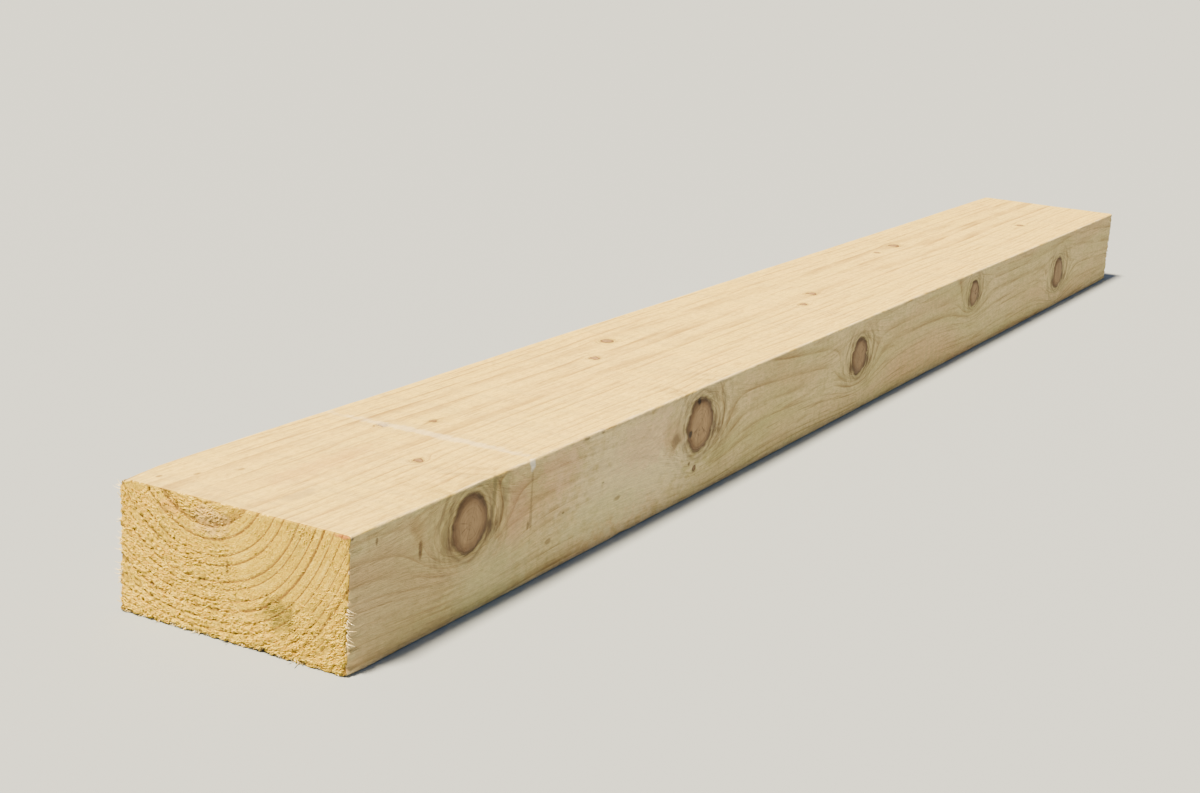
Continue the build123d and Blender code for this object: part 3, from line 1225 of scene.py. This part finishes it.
def paler_far_end_in_shade(tree, point):
    """How much paler the wood is painted, as painted light on the shaded far end: not at all on
    the near end, and well on the far one.
    """
    place = add(tree, "ShaderNodeSeparateXYZ", {0: point}).outputs
    inputs = {"Value": place["X"], "From Min": -0.1, "From Max": 0.1, "To Max": most_lightened_in_shade}
    return add(tree, "ShaderNodeMapRange", inputs)


# How far the far end is painted paler, as light for its shade
print("the far end is dried by", most_lightened_in_shade)

# %% Year rings on the cut ends
cross_cut, tree, shader = new_material("treated_pine_cross_cut_end", 0.88)
shader.inputs["IOR"].default_value = fibre_ior
node = partial(add, tree)
point = node("ShaderNodeTexCoord").outputs["Object"]
wood = node("ShaderNodeGroup", {"Point": point}, node_tree=shader_figure)
polar, torn = wood.outputs["Polar"], wood.outputs["Torn"]

# Thin brown lines, whole where the saw ran clean and dotted where it tore
season = node("ShaderNodeMath", {0: wood.outputs["Rings"]}, operation="FRACT")
late = node("ShaderNodeValToRGB", {"Fac": season}, stops=late_line)
pits = lumps(tree, polar, (12, 30, 5), 0.35, 0.6)
whole = node("ShaderNodeMapRange", {"Value": torn, "To Min": 0.95, "To Max": 0.55})
pits = node("ShaderNodeMath", {0: pits, 1: whole}, operation="MAXIMUM")
late = node("ShaderNodeMath", {0: late, 1: pits}, operation="MULTIPLY")

# The first rings round the pith are wide, and their late wood is pale
from_pith = node("ShaderNodeSeparateXYZ", {0: polar}).outputs["Y"]
inputs = {"Value": from_pith, "From Min": 32 * mm, "From Max": 60 * mm, "To Min": 0.3}
grown = node("ShaderNodeMapRange", inputs)
late = node("ShaderNodeMath", {0: late, 1: grown}, operation="MULTIPLY")
print("nodes with the year rings:", len(tree.nodes))

# %% Clumps and pits on the cut ends
# Clumps of fibre lighter and darker, drawn out round the rings
fuzz = lumps(tree, polar, (30, 2.2, 3.4), 0.33, 0.67, 3.0, 0.65)
streak = lumps(tree, polar, (60, 3.2, 30), 0.5, 0.7, most=0.5)
olive = lumps(tree, point, (60, 28, 20), 0.46, 0.72, most=0.45)

# Deep between the torn clumps the wood is darkened: painted shade in the hollows of the relief
place = node("ShaderNodeSeparateXYZ", {0: point}).outputs
depth = node("ShaderNodeMath", {0: place["X"]}, operation="ABSOLUTE")
inputs = {"Value": depth, "From Min": high.x - 0.1 * mm, "From Max": high.x - 1.5 * mm}
painted_shade_in_hollows = node("ShaderNodeMapRange", inputs | {"To Max": 0.8})
coats = ["B49016", ("DEC22A", fuzz), ("ECD45E", streak), ("8C7C22", olive)]
coats += end_patch_coats(tree, point)
# The last coat is painted light: it pales the far end, which lies in shade
coats += [("6E4816", late), ("553C12", painted_shade_in_hollows), ("CDB282", paler_far_end_in_shade(tree, point))]
colour = lay(tree, coats)
print("coats on the cut ends:", len(coats))

# %% Fine grain of the cut ends
pore_height = 1.0 * mm
grain = lumps(tree, polar, (30, 1.1, 1.5), 0.3, 0.7, 2.0, 0.6)
bump = node("ShaderNodeBump", {"Height": grain, "Strength": 0.6, "Distance": pore_height})
tree.links.new(first_output(colour), shader.inputs["Base Color"])
tree.links.new(bump.outputs[0], shader.inputs["Normal"])
print(cross_cut.name, "has", len(tree.nodes), "nodes")

# %% [markdown]
# ### Pine, torn into fibres
#
# A loose fibre has air on all sides and catches the light like straw, so it is paler than the
# wood that it came from, and its skin is a little smoother. The whiskers on the edges stand
# furthest out and have dried almost white.

# %% The loose-fibre materials
def make_loose_fibre(name, darker, paler, patches):
    material, tree, shader = new_material(name, 0.75)
    shader.inputs["IOR"].default_value = fibre_ior
    point = add(tree, "ShaderNodeTexCoord").outputs["Object"]
    coats = [darker, (paler, lumps(tree, point, (9, 4, 4)))]
    if patches:
        coats += end_patch_coats(tree, point)
    # The far end's fibres are painted paler too, as light for their shade
    coats.append(("E2CFA2", paler_far_end_in_shade(tree, point)))
    tree.links.new(first_output(lay(tree, coats)), shader.inputs["Base Color"])
    print(name, "has", len(coats), "coats")
    return material


tuft_fibre = make_loose_fibre("treated_pine_torn_fibre", "C8A224", "EED654", True)
dry_fibre = make_loose_fibre("treated_pine_dry_whisker", "EED694", "FBF0CC", False)

# %% Dress the pieces
baulk.data.materials.append(sawn_face)
baulk.data.materials.append(cross_cut)
for polygon in baulk.data.polygons:
    at_an_end = abs(polygon.center.x) > high.x - 3 * mm and abs(polygon.normal.x) > 0.5
    polygon.material_index = 1 if at_an_end else 0
for pieces, fibre in ((torn_fibres, tuft_fibre), (edge_whiskers, dry_fibre)):
    for piece in pieces:
        piece.data.materials.append(fibre)
        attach(piece, "root")
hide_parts("sleeper")
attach(baulk, "root")
cut_across = sum(polygon.material_index for polygon in baulk.data.polygons)
print("faces of the skin:", len(baulk.data.polygons), "of which cut across:", cut_across)

# %% [markdown]
# ## Floor, light and camera
#
# A plain pale floor and one broad, warm light show the wood, and a dim, bluish studio lights
# its shaded side. The photograph was taken from in front of the near end, a little to the side
# and above. The camera keeps that place and only turns, so that the whole length is in view.

# %% Floor
# It lies a hair below the bed face, so that the two never share a plane
floor_gap = 0.2 * mm
bpy.ops.object.select_all(action="DESELECT")
bpy.ops.mesh.primitive_plane_add(size=100, location=(0, 0, low.z - floor_gap))
floor = bpy.context.object
floor.name = "floor"
floor_paint, floor_tree, floor_shader = new_material("pale_floor", 0.9)
floor_shader.inputs["Base Color"].default_value = linear("A0ACBE")
floor.data.materials.append(floor_paint)
print("floor below the bed face, mm:", round(floor_gap / mm, 1))

# %% Light
world = bpy.data.worlds.new("studio")
bpy.context.scene.world = world
world.use_nodes = True
background = world.node_tree.nodes["Background"]
background.inputs["Color"].default_value = linear("D2E0F4")
background.inputs["Strength"].default_value = 0.3

bpy.ops.object.light_add(type="SUN", location=(-3, 1, 3))
key = bpy.context.object
key.data.energy = 17.0
key.data.angle = math.radians(9)
key.data.color = linear("FFE6B8")[:3]
shine = Vector((0.46, -0.12, -0.88))
key.rotation_euler = shine.to_track_quat("-Z", "Y").to_euler()
steepness = math.degrees(math.asin(-shine.normalized().z))
print("the light comes down at", round(steepness), "degrees")

# %% Camera
eye = Vector((low.x - 1.197, low.y - 0.870, low.z + 0.638))
turn_left = math.radians(28.4)
look_down = math.radians(14.6)
tilt = math.radians(3.6)
level = math.cos(look_down)
gaze = Vector((math.cos(turn_left) * level, math.sin(turn_left) * level, -math.sin(look_down)))
bpy.ops.object.camera_add(location=eye)
camera = bpy.context.object
camera.data.lens = 57
camera.data.sensor_width = 36
camera.rotation_mode = "QUATERNION"
camera.rotation_quaternion = gaze.to_track_quat("-Z", "Y") @ Quaternion((0, 0, 1), tilt)
bpy.context.scene.camera = camera
print("camera above the bed face, mm:", round((eye.z - low.z) / mm))
